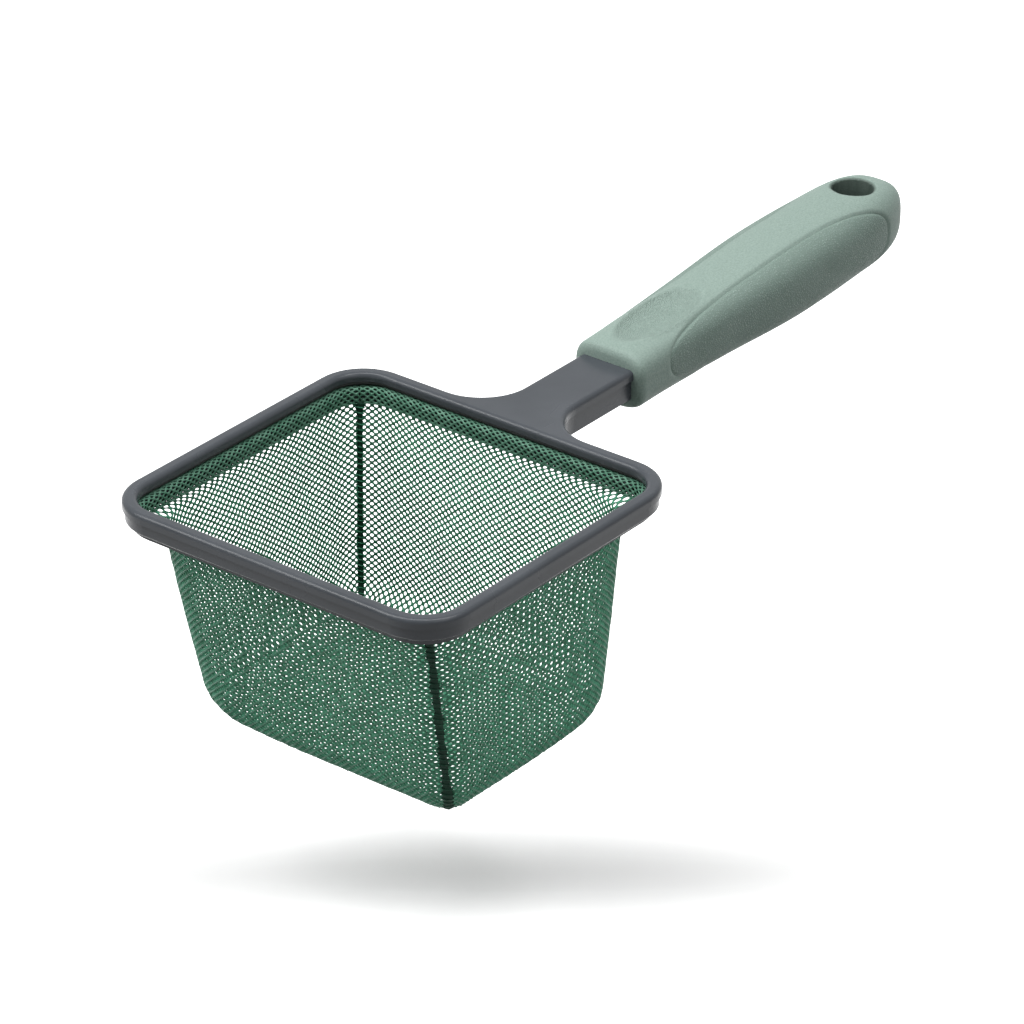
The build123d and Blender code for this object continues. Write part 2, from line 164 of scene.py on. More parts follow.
def floor_glow(nodes, links):
    """Glow of the floor for the camera, from little in the shadow's oval to white around it."""
    share = nodes.new("ShaderNodeMapRange")
    share.interpolation_type = "SMOOTHSTEP"
    links.new(oval_reach(nodes, links, SHADOW_SPOT, VIEW_AZIMUTH, SHADOW_HALF), share.inputs["Value"])
    share.inputs["To Min"].default_value = GLOW_IN_SHADOW
    scale = nodes.new("ShaderNodeMath")
    scale.operation = "MULTIPLY"
    links.new(light_path_mix(nodes, links), scale.inputs[0])
    links.new(share.outputs["Result"], scale.inputs[1])
    return scale.outputs[0]


def make_floor(bounce, albedo):
    """Pale floor that shows the shadow."""
    bpy.ops.object.select_all(action="DESELECT")
    bpy.ops.mesh.primitive_plane_add(size=FLOOR_SIZE, location=(0, 0, FLOOR_Z))
    floor = bpy.context.object
    floor.name = "floor"
    material = bpy.data.materials.new("floor_white")
    material.use_nodes = True
    nodes, links = material.node_tree.nodes, material.node_tree.links
    nodes.clear()
    diffuse = nodes.new("ShaderNodeBsdfDiffuse")
    links.new(by_ray(nodes, links, bounce, albedo), diffuse.inputs["Color"])
    glow = nodes.new("ShaderNodeEmission")
    links.new(floor_glow(nodes, links), glow.inputs["Strength"])
    both = nodes.new("ShaderNodeAddShader")
    output = nodes.new("ShaderNodeOutputMaterial")
    links.new(diffuse.outputs[0], both.inputs[0])
    links.new(glow.outputs[0], both.inputs[1])
    links.new(both.outputs[0], output.inputs["Surface"])
    floor.data.materials.append(material)


def softbox(name, spot, aim, width, depth, power):
    """Lamp at a spot, turned to a point, with its width across the camera's view."""
    bpy.ops.object.light_add(type="AREA")
    lamp = bpy.context.object
    lamp.name = name
    lamp.data.shape = "RECTANGLE"
    lamp.data.size = width
    lamp.data.size_y = depth
    lamp.data.energy = power
    back = (Vector(spot) - Vector(aim)).normalized()
    across = camera.matrix_world.col[0].to_3d()
    across = (across - back * across.dot(back)).normalized()
    turn = Matrix((across, back.cross(across), back)).transposed().to_4x4()
    lamp.matrix_world = Matrix.Translation(spot) @ turn


bpy.context.scene.view_settings.view_transform = "Standard"
make_world(ambient=0.14)
make_floor(bounce=0.15, albedo=0.8)
MIDDLE = (HOOP_X, 0, HOOP_TOP)
softbox("key_lamp", spot=(-0.24, 0.21, 1.05), aim=MIDDLE, width=2.2, depth=0.3, power=23.5)
softbox("side_lamp", spot=(-0.2, -0.8, 0.9), aim=MIDDLE, width=0.6, depth=0.6, power=2.2)

# %% [markdown]
# Grain that several finishes share
#
# Moulded plastic and soft rubber are never one flat colour. They have a very fine grain from the mould and
# a slow drift in tone. Both come from one node group, so each finish only sets how coarse the grain is.

# %% Shared grain
WOBBLE_SCALE = 500
WOBBLE = 0.8 * MM


def add_group(name, inputs, outputs):
    """A shader node group with a vector input, number inputs and number outputs."""
    group = bpy.data.node_groups.new(name, "ShaderNodeTree")
    group.interface.new_socket("Vector", in_out="INPUT", socket_type="NodeSocketVector")
    for socket, value in inputs.items():
        made = group.interface.new_socket(socket, in_out="INPUT", socket_type="NodeSocketFloat")
        made.default_value = value
    for socket in outputs:
        group.interface.new_socket(socket, in_out="OUTPUT", socket_type="NodeSocketFloat")
    start = group.nodes.new("NodeGroupInput")
    end = group.nodes.new("NodeGroupOutput")
    return group, start, end


def make_grain_group():
    """Fine mould grain as a height, and a slow drift in tone."""
    group, start, end = add_group("mould_grain", {"Grain": 3000.0, "Drift": 60.0}, ("Height", "Tone"))
    for socket, output, detail in (("Grain", "Height", 2.0), ("Drift", "Tone", 3.0)):
        cloud = group.nodes.new("ShaderNodeTexNoise")
        cloud.inputs["Detail"].default_value = detail
        group.links.new(start.outputs["Vector"], cloud.inputs["Vector"])
        group.links.new(start.outputs[socket], cloud.inputs["Scale"])
        group.links.new(cloud.outputs["Fac"], end.inputs[output])
    return group


def make_pebble_group():
    """Leather-like pebbles of uneven size as a height, and the creases between them."""
    group, start, end = add_group("pebbles", {"Cells": 1100.0, "Crease": 0.45}, ("Height", "Crease"))
    wobble = group.nodes.new("ShaderNodeTexNoise")
    wobble.inputs["Scale"].default_value = WOBBLE_SCALE
    group.links.new(start.outputs["Vector"], wobble.inputs["Vector"])
    shift = group.nodes.new("ShaderNodeVectorMath")
    shift.operation = "MULTIPLY_ADD"
    shift.inputs[1].default_value = (WOBBLE,) * 3
    group.links.new(wobble.outputs["Color"], shift.inputs[0])
    group.links.new(start.outputs["Vector"], shift.inputs[2])
    cells = group.nodes.new("ShaderNodeTexVoronoi")
    cells.feature = "DISTANCE_TO_EDGE"
    group.links.new(shift.outputs[0], cells.inputs["Vector"])
    group.links.new(start.outputs["Cells"], cells.inputs["Scale"])
    crown = group.nodes.new("ShaderNodeMapRange")
    crown.interpolation_type = "SMOOTHSTEP"
    group.links.new(cells.outputs["Distance"], crown.inputs["Value"])
    group.links.new(start.outputs["Crease"], crown.inputs["From Max"])
    group.links.new(crown.outputs["Result"], end.inputs["Height"])
    turned = group.nodes.new("ShaderNodeMath")
    turned.operation = "SUBTRACT"
    turned.inputs[0].default_value = 1
    group.links.new(crown.outputs["Result"], turned.inputs[1])
    group.links.new(turned.outputs[0], end.inputs["Crease"])
    return group


GRAIN = make_grain_group()
PEBBLES = make_pebble_group()
print("node groups:", [group.name for group in bpy.data.node_groups])

# %% [markdown]
# Tools for building finishes
#
# Colours are written as they look on a screen, from 0 to 255, and turned into the linear values that
# Blender works in. A finish then links the groups above to the shader's colour, roughness and bump.

# %% Finish tools
def paint(red, green, blue):
    """A screen colour as Blender's linear colour."""
    values = [v / 255 for v in (red, green, blue)]
    return (*(v / 12.92 if v < 0.04045 else ((v + 0.055) / 1.055) ** 2.4 for v in values), 1)


class Finish:
    """A material with its Principled shader, and short ways to link things to it."""

    def __init__(self, name):
        self.material = bpy.data.materials.new(name)
        self.material.use_nodes = True
        self.nodes = self.material.node_tree.nodes
        self.links = self.material.node_tree.links
        self.shader = self.nodes["Principled BSDF"]
        self.place = self.nodes.new("ShaderNodeTexCoord").outputs["Object"]

    def group(self, tree, **values):
        """Place a node group on the object's coordinates, with its own values."""
        node = self.nodes.new("ShaderNodeGroup")
        node.node_tree = tree
        self.links.new(self.place, node.inputs["Vector"])
        for socket, value in values.items():
            node.inputs[socket].default_value = value
        return node.outputs

    def blend(self, share, low, high):
        """A colour between two, by a share. The first may come from another node."""
        node = self.nodes.new("ShaderNodeMix")
        node.data_type = "RGBA"
        self.links.new(share, node.inputs["Factor"])
        if isinstance(low, bpy.types.NodeSocket):
            self.links.new(low, node.inputs["A"])
        else:
            node.inputs["A"].default_value = low
        node.inputs["B"].default_value = high
        return node.outputs["Result"]

    def span(self, value, low, high, start=0.3, stop=0.7):
        """A value carried over to another range."""
        node = self.nodes.new("ShaderNodeMapRange")
        self.links.new(value, node.inputs["Value"])
        for socket, number in (("From Min", start), ("From Max", stop), ("To Min", low), ("To Max", high)):
            node.inputs[socket].default_value = number
        return node.outputs["Result"]

    def times(self, first, second):
        """The product of two values."""
        node = self.nodes.new("ShaderNodeMath")
        node.operation = "MULTIPLY"
        self.links.new(first, node.inputs[0])
        self.links.new(second, node.inputs[1])
        return node.outputs[0]

    def bump(self, height, depth, under=None):
        """A bump of a depth in metres, over another one if it is given."""
        node = self.nodes.new("ShaderNodeBump")
        node.inputs["Strength"].default_value = 1
        node.inputs["Distance"].default_value = depth
        self.links.new(height, node.inputs["Height"])
        if under:
            self.links.new(under, node.inputs["Normal"])
        return node.outputs["Normal"]

    def feed(self, **sockets):
        """Link outputs to the shader's sockets, and set plain numbers on them."""
        for name, value in sockets.items():
            socket = self.shader.inputs[name.replace("_", " ")]
            if isinstance(value, bpy.types.NodeSocket):
                self.links.new(value, socket)
            else:
                socket.default_value = value


def dress(node, finish):
    """Put a finish in a CAD node's material slots."""
    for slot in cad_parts[node].material_slots:
        slot.material = finish.material


print("mid grey in linear light:", [round(v, 3) for v in paint(128, 128, 128)])

# %% [markdown]
# The hoop and neck
#
# The frame is one dark grey moulding with a satin surface. The grain breaks up its highlights a little, and
# the slow drift keeps its long flat walls from looking painted.

# %% Frame plastic
def frame_plastic():
    """Dark satin plastic."""
    finish = Finish("frame_plastic")
    grain = finish.group(GRAIN, Grain=2600, Drift=45)
    finish.feed(
        Base_Color=finish.blend(finish.span(grain["Tone"], 0, 1), paint(62, 66, 71), paint(72, 76, 81)),
        Roughness=finish.span(grain["Tone"], 0.22, 0.3),
        Normal=finish.bump(grain["Height"], 0.012 * MM),
        Specular_IOR_Level=0.2,
    )
    return finish


def cord_rubber():
    """Dull black cord behind the hem."""
    finish = Finish("hem_cord")
    grain = finish.group(GRAIN, Grain=1800, Drift=300)
    finish.feed(
        Base_Color=finish.blend(grain["Tone"], paint(26, 28, 28), paint(40, 43, 42)),
        Roughness=finish.span(grain["Tone"], 0.6, 0.75),
        Normal=finish.bump(grain["Height"], 0.02 * MM),
    )
    return finish


dress("frame", frame_plastic())
dress("hem_cord", cord_rubber())
print("frame and hem cord dressed")

# %% [markdown]
# Small tools for modelling
#
# Blender's operators act on whatever is selected, so a piece is selected alone before a tool is used on it.
# A modifier is added with its settings and applied at once, which leaves a plain mesh.

# %% Small tools
def pick(piece):
    """Make one piece the only selected and active one."""
    bpy.ops.object.select_all(action="DESELECT")
    piece.select_set(True)
    bpy.context.view_layer.objects.active = piece


def apply_modifier(piece, kind, **settings):
    """Add a modifier to a piece and apply it."""
    pick(piece)
    modifier = piece.modifiers.new(kind.lower(), kind)
    for name, value in settings.items():
        setattr(modifier, name, value)
    bpy.ops.object.modifier_apply(modifier=modifier.name)


def edit_edges(piece, test):
    """Enter edit mode with only those edges selected whose two ends pass a test."""
    pick(piece)
    bpy.context.tool_settings.mesh_select_mode = (False, True, False)
    mesh = piece.data
    for part in (*mesh.vertices, *mesh.polygons):
        part.select = False
    for edge in mesh.edges:
        edge.select = test(*(mesh.vertices[index].co for index in edge.vertices))
    bpy.ops.object.mode_set(mode="EDIT")


def edit_all(piece, *steps):
    """Use edit mode's tools on the whole of a piece, one after another."""
    pick(piece)
    bpy.ops.object.mode_set(mode="EDIT")
    for tool, settings in steps:
        bpy.ops.mesh.select_all(action="SELECT")
        tool(**settings)
    bpy.ops.object.mode_set(mode="OBJECT")


CLOSE = 1e-4
FACE_OUT = (bpy.ops.mesh.normals_make_consistent, {"inside": False})


def smoothstep(value):
    """0 below 0, 1 above 1, and a soft rise between them."""
    value = min(max(value, 0), 1)
    return value * value * (3 - 2 * value)


def bell(value):
    """1 at 0, with a soft fall to both sides."""
    return exp(-(value**2))


def triangles(piece):
    """How many triangles a piece's faces make."""
    return sum(len(face.vertices) - 2 for face in piece.data.polygons)


def declare(piece, slot, *nodes):
    """Ride on the net's only body and stand for the plain solids."""
    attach(piece, "root")
    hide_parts(*nodes)


print("a soft rise:", [round(smoothstep(step / 4), 3) for step in range(5)])

# %% [markdown]
# The grip's form
#
# Each section of the grip is a superellipse, a curve between an ellipse and a rectangle. Its size follows a
# few stations along the grip and closes in a rounded end. The same sections shape the solid. Here they
# carry a fine grid of faces, so that the soft details of moulded rubber can be pressed into it: the thumb
# rest with its ridge, the rounded rim of the hang hole and the crease round each pad. Lengths are in
# millimetres, from the grip's lip and from the hoop's top.

# %% Form of the grip
GRIP_LOW, GRIP_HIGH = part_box("grip")
GRIP_LENGTH = (GRIP_HIGH.x - GRIP_LOW.x) / MM
# Share of the length, half width, height above the hoop's top and depth below it
STATIONS = (
    (0.0, 10.6, 3.8, 11.6),
    (0.1, 10.7, 4.6, 11.4),
    (0.31, 11.6, 6.5, 11.5),
    (0.53, 12.9, 8.6, 12.1),
    (0.67, 12.9, 9.2, 11.6),
    (0.79, 12.2, 9.5, 11.1),
)
STRAIGHT = STATIONS[-1][0] * GRIP_LENGTH
BELLY = STATIONS[3][0] * GRIP_LENGTH
SQUARENESS = (3.3, 2.95)
END_PLAN, END_SIDE = 2.8, 3.4
LIP_ROUND = 2.0


def eased(place, column):
    """A size of the grip at a distance from the lip, on a smooth curve through the stations."""
    places = [row[0] * GRIP_LENGTH for row in STATIONS]
    values = [row[column] for row in STATIONS]
    last = len(places) - 1
    index = min(max(bisect_right(places, place) - 1, 0), last - 1)
    slopes = []
    for spot in (index, index + 1):
        before, after = max(spot - 1, 0), min(spot + 1, last)
        slopes.append((values[after] - values[before]) / (places[after] - places[before]))
    span = places[index + 1] - places[index]
    share = (place - places[index]) / span
    level = values[index] + smoothstep(share) * (values[index + 1] - values[index])
    lead = share * (1 - share) ** 2 * slopes[0]
    trail = share**2 * (1 - share) * slopes[1]
    return level + span * (lead - trail)


def section(place):
    """Half width, half height, middle height and squareness of the grip at a distance from the lip."""
    front, rear = SQUARENESS
    power = front + (rear - front) * min(place / BELLY, 1)
    if place > STRAIGHT:
        share = min((place - STRAIGHT) / (GRIP_LENGTH - STRAIGHT), 1)
        slope = share * (1 - STATIONS[-1][0]) / (STATIONS[-1][0] - STATIONS[-2][0])
        width, top, bottom = (b + slope * (b - a) for a, b in zip(STATIONS[-2][1:], STATIONS[-1][1:]))
        plan = (1 - share**END_PLAN) ** (1 / END_PLAN)
        side = (1 - share**END_SIDE) ** (1 / END_SIDE)
    else:
        ahead = LIP_ROUND - min(place, LIP_ROUND)
        inset = LIP_ROUND - (LIP_ROUND**2 - ahead**2) ** 0.5
        width, top, bottom = (eased(place, column) - inset for column in (1, 2, 3))
        plan = side = 1
    return width * plan, (top + bottom) / 2 * side, (top - bottom) / 2, power


def rounded(value, power):
    """A sine or cosine drawn out towards a square."""
    return abs(value) ** (2 / power) * (1 if value > 0 else -1)


def skin(place, angle):
    """Point on the grip's plain surface and its outward direction, at an angle round the section."""
    width, height, middle, power = section(place)
    across, up = rounded(cos(angle), power), rounded(sin(angle), power)
    spot = Vector((place, across * width, middle + up * height))
    lean = [abs(v) ** (power - 1) * (1 if v > 0 else -1) for v in (across, up)]
    out = Vector((0, lean[0] * height, lean[1] * width))
    return spot, out.normalized() if out.length else Vector((1, 0, 0))


def bisected(test, inside, outside):
    """The place between two values where a test stops being true."""
    for _ in range(24):
        middle = (inside + outside) / 2
        inside, outside = (middle, outside) if test(middle) else (inside, middle)
    return inside


print("grip", round(GRIP_LENGTH, 1), "mm long, widest", max(row[1] for row in STATIONS) * 2, "mm")

# %% [markdown]
# The crease, the thumb rest and the hang hole
#
# A pad's outline is another superellipse, seen from the side, that grows with the distance from the grip's
# middle. How far a point lies from the outline decides how deep the surface is pressed in there. The thumb
# rest is where a large flat ball is pressed into the top, and the rubber rises a little round it.

# %% Details of the grip
PAD_FROM_LIP, PAD_FROM_END = 12.8, 15.4
PAD_HALF = (GRIP_LENGTH - PAD_FROM_LIP - PAD_FROM_END) / 2
PAD_MIDDLE = PAD_FROM_LIP + PAD_HALF
PAD_AXIS = -1.5
PAD_RISE, PAD_FALL = (7.5, 13.2), (9.4, 10.0)
PAD_POWER = 2.6
PAD_OUT, PAD_LEAN = 9.0, 0.6
CREASE_DEPTH = 0.65
CREASE_WIDTH = 1.0
FRONT_FADE, FRONT_REACH = 0.6, 9.0
FADE_ACROSS = 4.0
FADE_LOW, FADE_RISE = 2.0, 3.0
LEAST_CLIMB = 0.01
POCKET = 0.4
THUMB_PLACE = 20.5
THUMB_HALF = Vector((16.4, 7.6))
THUMB_DEPTH = 2.0
THUMB_BLEND = 0.25
RIDGE, RIDGE_WIDTH = 0.24, 0.4
RIDGE_LIMIT = 2
PLAIN_FROM = 2 * THUMB_PLACE + THUMB_HALF.x
HOLE_FROM_END = 14.8
HOLE_PLACE = GRIP_LENGTH - HOLE_FROM_END
HOLE_RADIUS = 5.4
RIM_ROUND = 0.9


def pad_level(spot):
    """1 on a pad's outline, less inside it and more outside."""
    grow = (abs(spot.y) - PAD_OUT) * PAD_LEAN
    along = (spot.x - PAD_MIDDLE) / (PAD_HALF + grow)
    front, rear = PAD_RISE if spot.z > PAD_AXIS else PAD_FALL
    reach = front + (rear - front) * (min(max(along, -1), 1) + 1) / 2
    up = (spot.z - PAD_AXIS) / (reach + grow)
    return (abs(along) ** PAD_POWER + abs(up) ** PAD_POWER) ** (1 / PAD_POWER)


def from_outline(place, angle):
    """Distance of a point on the grip from its pad's outline, below 0 inside it."""
    step = 0.02
    spot = skin(place, angle)[0]
    level = pad_level(spot)
    ahead, beside = skin(place + step, angle)[0], skin(place, angle + step)[0]
    climb_a = (pad_level(ahead) - level) / max((ahead - spot).length, CLOSE)
    climb_b = (pad_level(beside) - level) / max((beside - spot).length, CLOSE)
    return (level - 1) / max(hypot(climb_a, climb_b), LEAST_CLIMB)


def crease_share(spot):
    """1 where the crease is whole, less at a pad's front end, and 0 along the left pad's upper edge."""
    front = 1 - FRONT_FADE * smoothstep((PAD_FROM_LIP + FRONT_REACH - spot.x) / FRONT_REACH)
    return front * (1 - smoothstep(spot.y / FADE_ACROSS) * smoothstep((spot.z - FADE_LOW) / FADE_RISE))


def crease(distance, depth):
    """How deep the grip is pressed in near a pad's outline, and under the pad."""
    if distance > 0:
        return depth * max(1 - distance / CREASE_WIDTH, 0) ** 2
    return depth + POCKET * smoothstep(-distance / CREASE_WIDTH)


def pressed(spot):
    """Height of the grip's top after the thumb rest is pressed in, with the ridge round it."""
    share = ((spot.x - THUMB_PLACE) / THUMB_HALF.x) ** 2 + (spot.y / THUMB_HALF.y) ** 2
    climb = eased(THUMB_PLACE + THUMB_HALF.x, 2) - eased(THUMB_PLACE - THUMB_HALF.x, 2)
    slope = climb / (2 * THUMB_HALF.x)
    rest = eased(THUMB_PLACE, 2) + slope * (spot.x - THUMB_PLACE) - THUMB_DEPTH * (1 - share)
    gap = spot.z - rest
    soft = max(THUMB_BLEND - abs(gap), 0) ** 2 / (4 * THUMB_BLEND)
    return spot.z - max(gap, 0) - soft + RIDGE * bell(gap / RIDGE_WIDTH) * (share < RIDGE_LIMIT)


def rim_drop(spot):
    """How far the surface rounds off into the hang hole."""
    off = RIM_ROUND - (hypot(spot.x - HOLE_PLACE, spot.y) - HOLE_RADIUS)
    off = min(max(off, 0), RIM_ROUND)
    return RIM_ROUND - (RIM_ROUND**2 - off**2) ** 0.5


def grip_point(place, angle):
    """A point on the grip with all its details."""
    spot, out = skin(place, angle)
    spot = spot - out * crease(from_outline(place, angle), CREASE_DEPTH * crease_share(spot))
    if spot.z > 0:
        spot.z = pressed(spot) if place < PLAIN_FROM else spot.z
        spot.z -= rim_drop(spot)
    else:
        spot.z += rim_drop(spot)
    return spot


def on_grip(spot):
    """A point of the grip in the frame, in metres."""
    return Vector((GRIP_LOW.x + spot.x * MM, spot.y * MM, HOOP_TOP + spot.z * MM))


print("pads", round(2 * PAD_HALF, 1), "mm long, hang hole", 2 * HOLE_RADIUS, "mm across")

# %% [markdown]
# Rubber finishes
#
# The grip is soft sage rubber with a satin skin. Its thumb rest has a finer, denser texture, which an oval
# mask on the grip's own coordinates brings in. Another mask paints shade into the hang hole: its wall is
# darkened in colour to stand for the shadow inside the deep hole. The side pads have a leather-like pebble,
# so that wet hands hold them.

# %% Grip rubber
MASK_EDGE = 0.86
TOP_EDGE = 2 * MM


def oval_mask(finish, place, half):
    """1 in an oval seen from above, at a place along the grip, and 0 around it."""
    spot = (GRIP_LOW.x + place * MM, 0)
    reach = oval_reach(finish.nodes, finish.links, spot, 0, [size * MM for size in half])
    return finish.span(reach, 1, 0, MASK_EDGE, 1.0)


def on_top(finish, mask):
    """A mask on the upper side of the grip only."""
    height = finish.nodes.new("ShaderNodeSeparateXYZ")
    finish.links.new(finish.place, height.inputs[0])
    upper = finish.span(height.outputs["Z"], 0, 1, HOOP_TOP, HOOP_TOP + TOP_EDGE)
    return finish.times(mask, upper)


def grip_rubber():
    """Satin sage rubber with a finely textured thumb rest and painted shade in the hang hole."""
    finish = Finish("grip_rubber")
    grain = finish.group(GRAIN, Grain=2400, Drift=55)
    dots = finish.group(PEBBLES, Cells=1900, Crease=0.3)
    thumb = on_top(finish, oval_mask(finish, THUMB_PLACE, THUMB_HALF))
    # Painted shade: this mask blends the hang hole's wall towards a dark colour, standing for the shadow in
    # the deep hole
    hole = oval_mask(finish, HOLE_PLACE, (HOLE_RADIUS + RIM_ROUND,) * 2)
    sage = finish.blend(finish.span(grain["Height"], 0, 1), paint(124, 142, 134), paint(140, 158, 150))
    grained = finish.bump(grain["Height"], 0.08 * MM)
    finish.feed(
        Base_Color=finish.blend(hole, sage, paint(58, 70, 64)),
        Roughness=finish.span(grain["Tone"], 0.5, 0.6),
        Normal=finish.bump(finish.times(dots["Height"], thumb), 0.12 * MM, under=grained),
        Specular_IOR_Level=0.25,
    )
    return finish


def pad_rubber():
    """Pebbled sage rubber, with painted shade darkening its creases."""
    finish = Finish("pad_rubber")
    pebble = finish.group(PEBBLES, Cells=1700, Crease=0.5)
    grain = finish.group(GRAIN, Grain=2600, Drift=70)
    fine = finish.bump(grain["Height"], 0.02 * MM)
    # Painted shade: the creases between pebbles get a darker colour, for the shade that falls in them
    finish.feed(
        Base_Color=finish.blend(pebble["Crease"], paint(140, 158, 150), paint(114, 132, 124)),
        Roughness=finish.span(grain["Tone"], 0.5, 0.62),
        Normal=finish.bump(pebble["Height"], 0.1 * MM, under=fine),
        Specular_IOR_Level=0.2,
    )
    return finish


sage_skin = grip_rubber()
sage_pebble = pad_rubber()
print("rubber finishes:", sage_skin.material.name, sage_pebble.material.name)

# %% [markdown]
# Modelling the grip and pads
#
# A grid is wrapped round the sections like paper round a tube. Its rows lie closer together where the end
# rounds off. The two long edges meet and are merged, the last row shrinks to a point, and the lip is
# filled. A cylinder then cuts the hang hole. A pad is a grid too, stretched from its lower to its upper
# edge at each place along it and given a thickness, and its border rounds off into the crease.

# %% Grip and pads
GRIP_ROWS, GRIP_COLUMNS = 260, 168
END_ROWS = 60
PAD_ROWS, PAD_COLUMNS = 150, 64
PAD_THICKNESS = 0.3
PAD_SINK = 0.08
MERGE = 1e-6
SMOOTH_ANGLE = radians(50)
HOLE_SIDES = 96
CUTTER_DEPTH = 60 * MM


def even_angles(count):
    """Angles that lie at even distances round the grip's section at its belly."""
    fine = 3600
    spots = [skin(BELLY, 2 * pi * index / fine)[0] for index in range(fine + 1)]
    travelled = [0]
    for a, b in zip(spots, spots[1:]):
        travelled.append(travelled[-1] + (b - a).length)
    wanted = [travelled[-1] * index / count for index in range(count + 1)]
    return [2 * pi * min(bisect_right(travelled, distance) - 1, fine) / fine for distance in wanted]


def grip_place(row):
    """Distance from the lip of one row of the grip's grid."""
    straight_rows = GRIP_ROWS - END_ROWS
    if row <= straight_rows:
        return STRAIGHT * row / straight_rows
    return STRAIGHT + (GRIP_LENGTH - STRAIGHT) * sin(pi / 2 * (row - straight_rows) / END_ROWS)


def wrapped(name, columns, rows, place):
    """A grid whose corners are put in place one by one, by column and row, with doubles merged."""
    bpy.ops.object.select_all(action="DESELECT")
    bpy.ops.mesh.primitive_grid_add(x_subdivisions=columns, y_subdivisions=rows, size=1)
    piece = bpy.context.object
    piece.name = name
    for vertex in piece.data.vertices:
        column, row = round((vertex.co.x + 0.5) * columns), round((vertex.co.y + 0.5) * rows)
        vertex.co = place(column, row)
    edit_all(piece, (bpy.ops.mesh.remove_doubles, {"threshold": MERGE}))
    return piece


def close_up(piece):
    """Fill any opening, and turn all faces outwards."""
    edit_all(piece, (bpy.ops.mesh.fill_holes, {"sides": 0}), FACE_OUT)
    bpy.ops.object.shade_smooth_by_angle(angle=SMOOTH_ANGLE)


def coat(piece, finish):
    """Give a piece one finish all over."""
    piece.data.materials.clear()
    piece.data.materials.append(finish.material)


def model_grip(finish):
    """The grip with its thumb rest, its pockets and its hang hole."""
    angles = even_angles(GRIP_COLUMNS)

    def grip_corner(column, row):
        return on_grip(grip_point(grip_place(row), angles[column]))

    piece = wrapped("soft_grip", GRIP_COLUMNS, GRIP_ROWS, grip_corner)
    close_up(piece)
    bpy.ops.object.select_all(action="DESELECT")
    bpy.ops.mesh.primitive_cylinder_add(
        vertices=HOLE_SIDES,
        radius=HOLE_RADIUS * MM,
        depth=CUTTER_DEPTH,
        location=on_grip(Vector((HOLE_PLACE, 0, 0))),
    )
    cutter = bpy.context.object
    apply_modifier(piece, "BOOLEAN", operation="DIFFERENCE", object=cutter, solver="EXACT")
    bpy.ops.object.shade_smooth_by_angle(angle=SMOOTH_ANGLE)
    pick(cutter)
    bpy.ops.object.delete()
    coat(piece, finish)
    declare(piece, "grip_rubber", "grip")
    return piece


def axis_angle(place):
    """Angle round the section at which the pad's axis runs, at a place."""
    _, height, middle, power = section(place)
    return asin(rounded((PAD_AXIS - middle) / height, 4 / power))


def pad_edges(place):
    """Angles at which a pad's lower and upper edge cross the section at a place."""
    return [
        bisected(lambda angle: pad_level(skin(place, angle)[0]) < 1, axis_angle(place), end)
        for end in (-pi / 2, pi / 2)
    ]


def model_pad(side, finish):
    """One pad, on the left or the right of the grip."""
    turn = 1 if side == "left" else -1

    def axis_level(place):
        return pad_level(skin(place, axis_angle(place))[0]) < 1

    front = bisected(axis_level, PAD_MIDDLE, 0)
    rear = bisected(axis_level, PAD_MIDDLE, GRIP_LENGTH - RIM_ROUND)
    rows = []
    for row in range(PAD_ROWS + 1):
        place = (front + rear) / 2 - (rear - front) / 2 * cos(pi * row / PAD_ROWS)
        rows.append((place, *pad_edges(place)))

    def pad_place(column, row):
        place, low, high = rows[row]
        angle = low + (high - low) * smoothstep(column / PAD_COLUMNS)
        spot, out = skin(place, angle)
        spot.y, out.y = turn * spot.y, turn * out.y
        inside = max(-from_outline(place, angle), 0)
        sink = PAD_SINK + (CREASE_DEPTH - PAD_SINK) * max(1 - inside / CREASE_WIDTH, 0) ** 2
        return on_grip(spot - out * sink * crease_share(spot))

    piece = wrapped(f"soft_{side}_pad", PAD_COLUMNS, PAD_ROWS, pad_place)
    if sum(face.normal.y * face.area for face in piece.data.polygons) * turn < 0:
        edit_all(piece, (bpy.ops.mesh.flip_normals, {}))
    apply_modifier(piece, "SOLIDIFY", thickness=PAD_THICKNESS * MM, offset=-1)
    close_up(piece)
    coat(piece, finish)
    declare(piece, "pad_rubber", f"{side}_grip_pad")
    return piece


for piece in (model_grip(sage_skin), model_pad("left", sage_pebble), model_pad("right", sage_pebble)):
    print(piece.name, triangles(piece), "triangles")

# %% [markdown]
# The bag's form
#
# The bag hangs from the hoop as a tapered box with rounded corners. Two opposite corners are sewn and keep
# their shape. The other two are only folds of a long strip, so just below the hem they draw in to wide soft
# curves. The floor hangs a little off centre, and its edges droop between the corners, where the mesh is
# gathered. A point on a side is given by how far across it is, from -1 to 1, and how far down, from 0 at
# the hem to 1 at the floor. This works in millimetres from the hoop's middle, and points go into the frame
# at the end. The knit is a little irregular too, from random values with a fixed seed, so that every run
# makes the same bag.

# %% Form of the bag
OUTWARD = {"front": (-1, 0), "right": (0, -1), "back": (1, 0), "left": (0, 1)}
STARTS_SOFT = {"front": True, "right": False, "back": True, "left": False}
WALL_LOW, WALL_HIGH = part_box("net_front_wall")
SHEET_INSET = 0.4
MOUTH_HALF_X = (HOOP_X - WALL_LOW.x) / MM - SHEET_INSET
MOUTH_WIDER = 3.5
MOUTH_HALF_Y = MOUTH_HALF_X + MOUTH_WIDER
TAPER_X = 7.4
TAPER_Y = 3.0
HEM_CORNER = 8.7
SEAMED_CORNER = 7.9
SOFT_CORNER = 21.2
SHOULDER = 0.05
FLOOR_SHIFT = (1.2, -1.6)
WALL_TOP = WALL_HIGH.z / MM
WALL_FOOT = 2.2
FOOT_ROUND = 8.6
SEAMED_RISE = 0.3
SOFT_RISE = 1.6
GATHER_WAVE = 3.4
